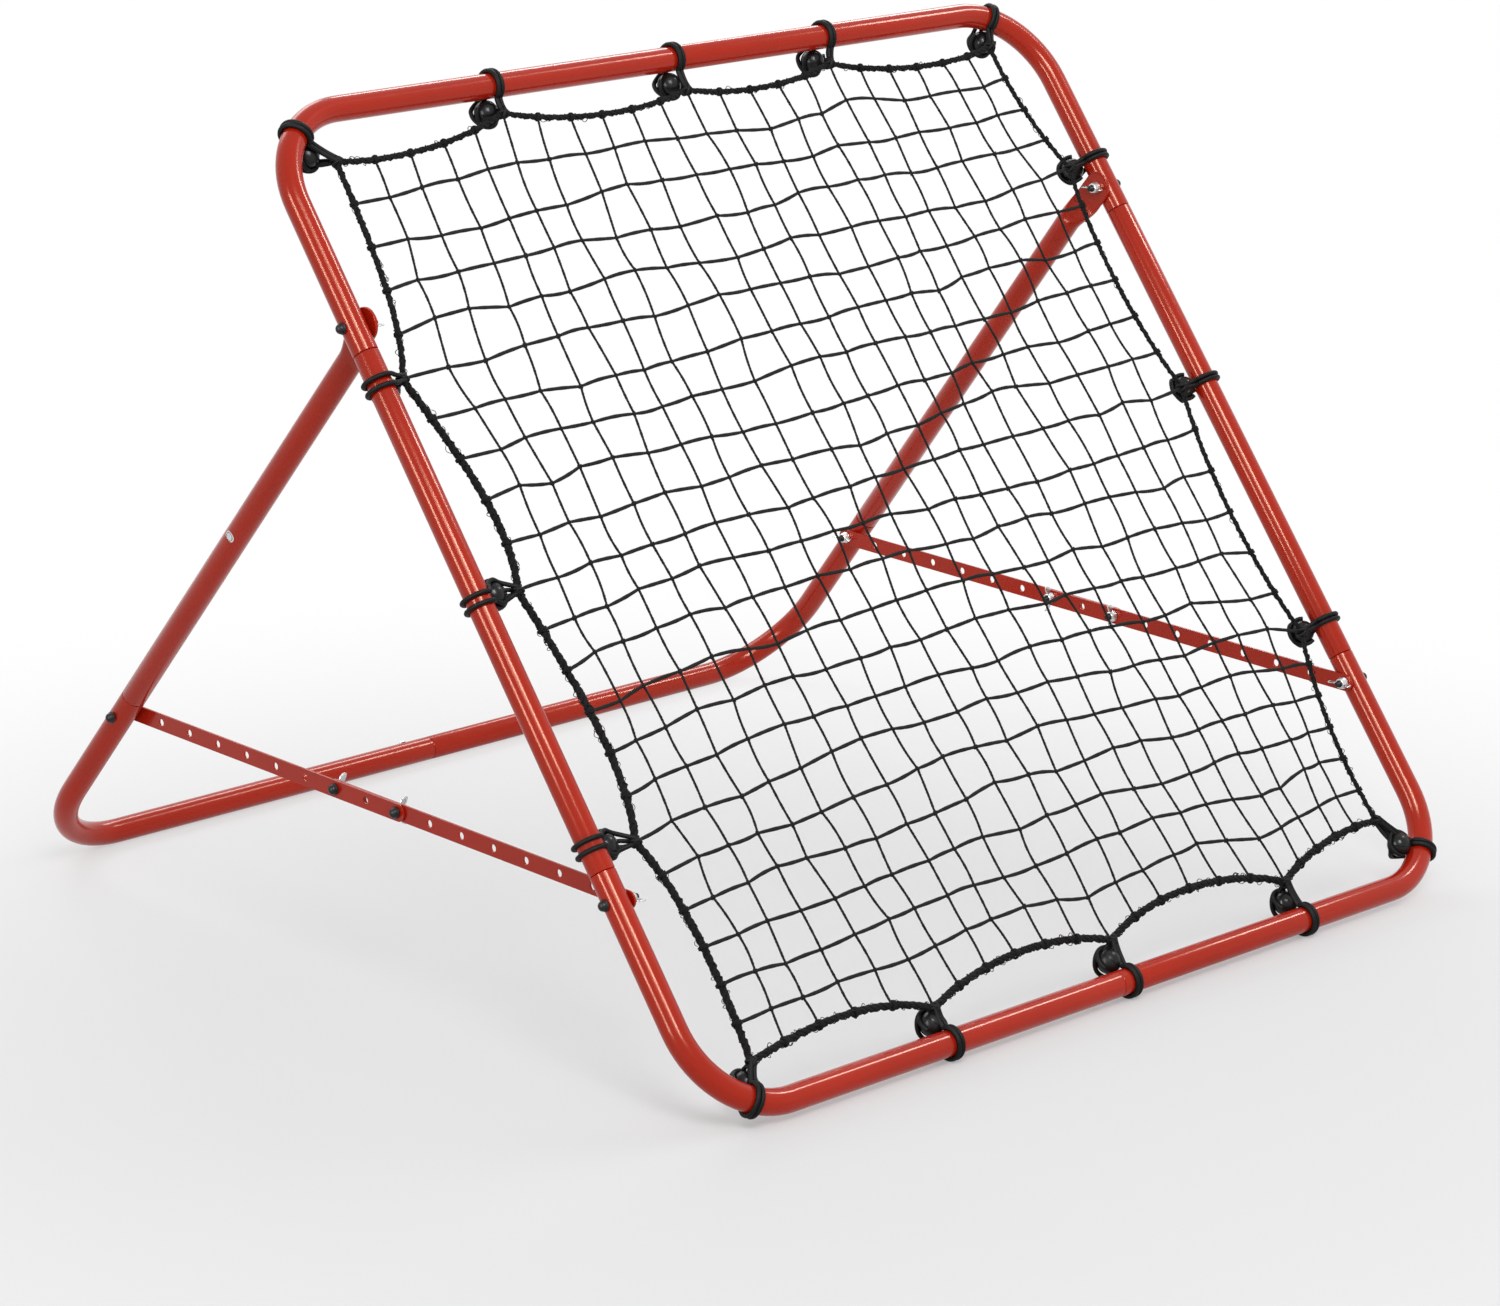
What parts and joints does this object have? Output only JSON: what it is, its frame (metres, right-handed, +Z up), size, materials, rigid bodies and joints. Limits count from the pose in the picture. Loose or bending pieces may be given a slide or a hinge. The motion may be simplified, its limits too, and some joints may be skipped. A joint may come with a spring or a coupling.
{
  "type": "pitch back rebounder",
  "caption": "Square bent-tube frame with rounded corners, leaning back on a folding U-shaped rear frame and perforated flat struts; a knotted net hung in it by ball ties returns a thrown ball.",
  "frame": {"origin": "centre of the object's footprint on the floor, under the middle of its bounding box", "axes": "+X to the right seen from the thrower, along the top rail; +Y away from the thrower, towards the rear frame; +Z up"},
  "size_m": [1.0204, 0.9889, 0.8016],
  "materials": {
    "red_paint": "glossy red powder coat on steel tube and bar",
    "black_steel": "black oxide bolts with domed heads",
    "zinc_plate": "zinc plated wing nuts and screws",
    "black_cord": "braided black cord and its balls",
    "black_twine": "knotted black twine"
  },
  "bodies": {
    "front_frame": {"border_rope": "black_cord", "front_corner_bottom_left": "red_paint", "front_corner_bottom_right": "red_paint", "front_corner_top_left": "red_paint", "front_corner_top_right": "red_paint", "front_side_left": "red_paint", "front_side_right": "red_paint", "net": "black_twine", "rail_screw_bottom": "zinc_plate", "rail_screw_top": "zinc_plate", "strut_front_bolt_left": "black_steel", "strut_front_bolt_right": "black_steel", "tie_bottom_1": "black_cord", "tie_bottom_2": "black_cord", "tie_bottom_3": "black_cord", "tie_bottom_left": "black_cord", "tie_bottom_right": "black_cord", "tie_left_1": "black_cord", "tie_left_2": "black_cord", "tie_left_3": "black_cord", "tie_right_1": "black_cord", "tie_right_2": "black_cord", "tie_right_3": "black_cord", "tie_top_1": "black_cord", "tie_top_2": "black_cord", "tie_top_3": "black_cord", "tie_top_left": "black_cord", "tie_top_right": "black_cord"},
    "rear_frame": {"pivot_bolt_left": "black_steel", "pivot_bolt_right": "black_steel", "rail_screw_rear": "zinc_plate", "rear_corner_left": "red_paint", "rear_corner_right": "red_paint", "rear_leg_left": "red_paint", "rear_leg_right": "red_paint", "strut_rear_bolt_left": "black_steel", "strut_rear_bolt_right": "black_steel"},
    "strut_front_left": {"lock_stud_left_1": "black_steel", "lock_stud_left_2": "black_steel", "strut_front_left": "red_paint"},
    "strut_front_right": {"lock_stud_right_1": "black_steel", "lock_stud_right_2": "black_steel", "strut_front_right": "red_paint"},
    "strut_rear_left": {"lock_bolt_left_1": "black_steel", "lock_bolt_left_2": "black_steel", "strut_rear_left": "red_paint"},
    "strut_rear_right": {"lock_bolt_right_1": "black_steel", "lock_bolt_right_2": "black_steel", "strut_rear_right": "red_paint"},
    "lock_wing_nut_left_1": {"lock_wing_nut_left_1": "zinc_plate"},
    "lock_wing_nut_left_2": {"lock_wing_nut_left_2": "zinc_plate"},
    "lock_wing_nut_right_1": {"lock_wing_nut_right_1": "zinc_plate"},
    "lock_wing_nut_right_2": {"lock_wing_nut_right_2": "zinc_plate"},
    "pivot_wing_nut_left": {"pivot_wing_nut_left": "zinc_plate"},
    "pivot_wing_nut_right": {"pivot_wing_nut_right": "zinc_plate"},
    "strut_front_wing_nut_left": {"strut_front_wing_nut_left": "zinc_plate"},
    "strut_front_wing_nut_right": {"strut_front_wing_nut_right": "zinc_plate"},
    "strut_rear_wing_nut_left": {"strut_rear_wing_nut_left": "zinc_plate"},
    "strut_rear_wing_nut_right": {"strut_rear_wing_nut_right": "zinc_plate"}
  },
  "joints": [
    {"name": "fold", "type": "hinge", "parent": "front_frame", "child": "rear_frame", "pos_m": [0, -0.00403, 0.62028], "axis": [1, 0, 0], "range_deg": [-31, 5.75]},
    {"name": "strut_front_left", "type": "hinge", "parent": "front_frame", "child": "strut_front_left", "pos_m": [-0.4747, -0.34929, 0.17938], "axis": [1, 0, 0], "range_deg": [-15.6, 3]},
    {"name": "strut_rear_left", "type": "hinge", "parent": "rear_frame", "child": "strut_rear_left", "pos_m": [-0.477, 0.3451, 0.18243], "axis": [1, 0, 0], "range_deg": [-3, 15.6]},
    {"name": "strut_front_right", "type": "hinge", "parent": "front_frame", "child": "strut_front_right", "pos_m": [0.4747, -0.34929, 0.17938], "axis": [1, 0, 0], "range_deg": [-15.6, 3]},
    {"name": "strut_rear_right", "type": "hinge", "parent": "rear_frame", "child": "strut_rear_right", "pos_m": [0.477, 0.3451, 0.18243], "axis": [1, 0, 0], "range_deg": [-3, 15.6]},
    {"name": "pivot_wing_nut_spin_left", "type": "hinge", "parent": "rear_frame", "child": "pivot_wing_nut_left", "pos_m": [-0.469, -0.00403, 0.62028], "axis": [1, 0, 0], "continuous": true},
    {"name": "strut_front_wing_nut_spin_left", "type": "hinge", "parent": "front_frame", "child": "strut_front_wing_nut_left", "pos_m": [-0.469, -0.34929, 0.17938], "axis": [1, 0, 0], "continuous": true},
    {"name": "strut_rear_wing_nut_spin_left", "type": "hinge", "parent": "rear_frame", "child": "strut_rear_wing_nut_left", "pos_m": [-0.469, 0.3451, 0.18243], "axis": [1, 0, 0], "continuous": true},
    {"name": "lock_wing_nut_spin_left_1", "type": "hinge", "parent": "strut_front_left", "child": "lock_wing_nut_left_1", "pos_m": [-0.469, 0.0413, 0.1811], "axis": [1, 0, 0], "continuous": true},
    {"name": "lock_wing_nut_spin_left_2", "type": "hinge", "parent": "strut_front_left", "child": "lock_wing_nut_left_2", "pos_m": [-0.469, -0.0455, 0.18071], "axis": [1, 0, 0], "continuous": true},
    {"name": "pivot_wing_nut_spin_right", "type": "hinge", "parent": "rear_frame", "child": "pivot_wing_nut_right", "pos_m": [0.469, -0.00403, 0.62028], "axis": [1, 0, 0], "continuous": true},
    {"name": "strut_front_wing_nut_spin_right", "type": "hinge", "parent": "front_frame", "child": "strut_front_wing_nut_right", "pos_m": [0.469, -0.34929, 0.17938], "axis": [1, 0, 0], "continuous": true},
    {"name": "strut_rear_wing_nut_spin_right", "type": "hinge", "parent": "rear_frame", "child": "strut_rear_wing_nut_right", "pos_m": [0.469, 0.3451, 0.18243], "axis": [1, 0, 0], "continuous": true},
    {"name": "lock_wing_nut_spin_right_1", "type": "hinge", "parent": "strut_front_right", "child": "lock_wing_nut_right_1", "pos_m": [0.469, 0.0413, 0.1811], "axis": [1, 0, 0], "continuous": true},
    {"name": "lock_wing_nut_spin_right_2", "type": "hinge", "parent": "strut_front_right", "child": "lock_wing_nut_right_2", "pos_m": [0.469, -0.0455, 0.18071], "axis": [1, 0, 0], "continuous": true}
  ],
  "couplings": [
    {"joint": "strut_front_left", "follows": "fold", "ratio": 0.5},
    {"joint": "strut_rear_left", "follows": "fold", "ratio": -0.5},
    {"joint": "strut_front_right", "follows": "fold", "ratio": 0.5},
    {"joint": "strut_rear_right", "follows": "fold", "ratio": -0.5}
  ]
}
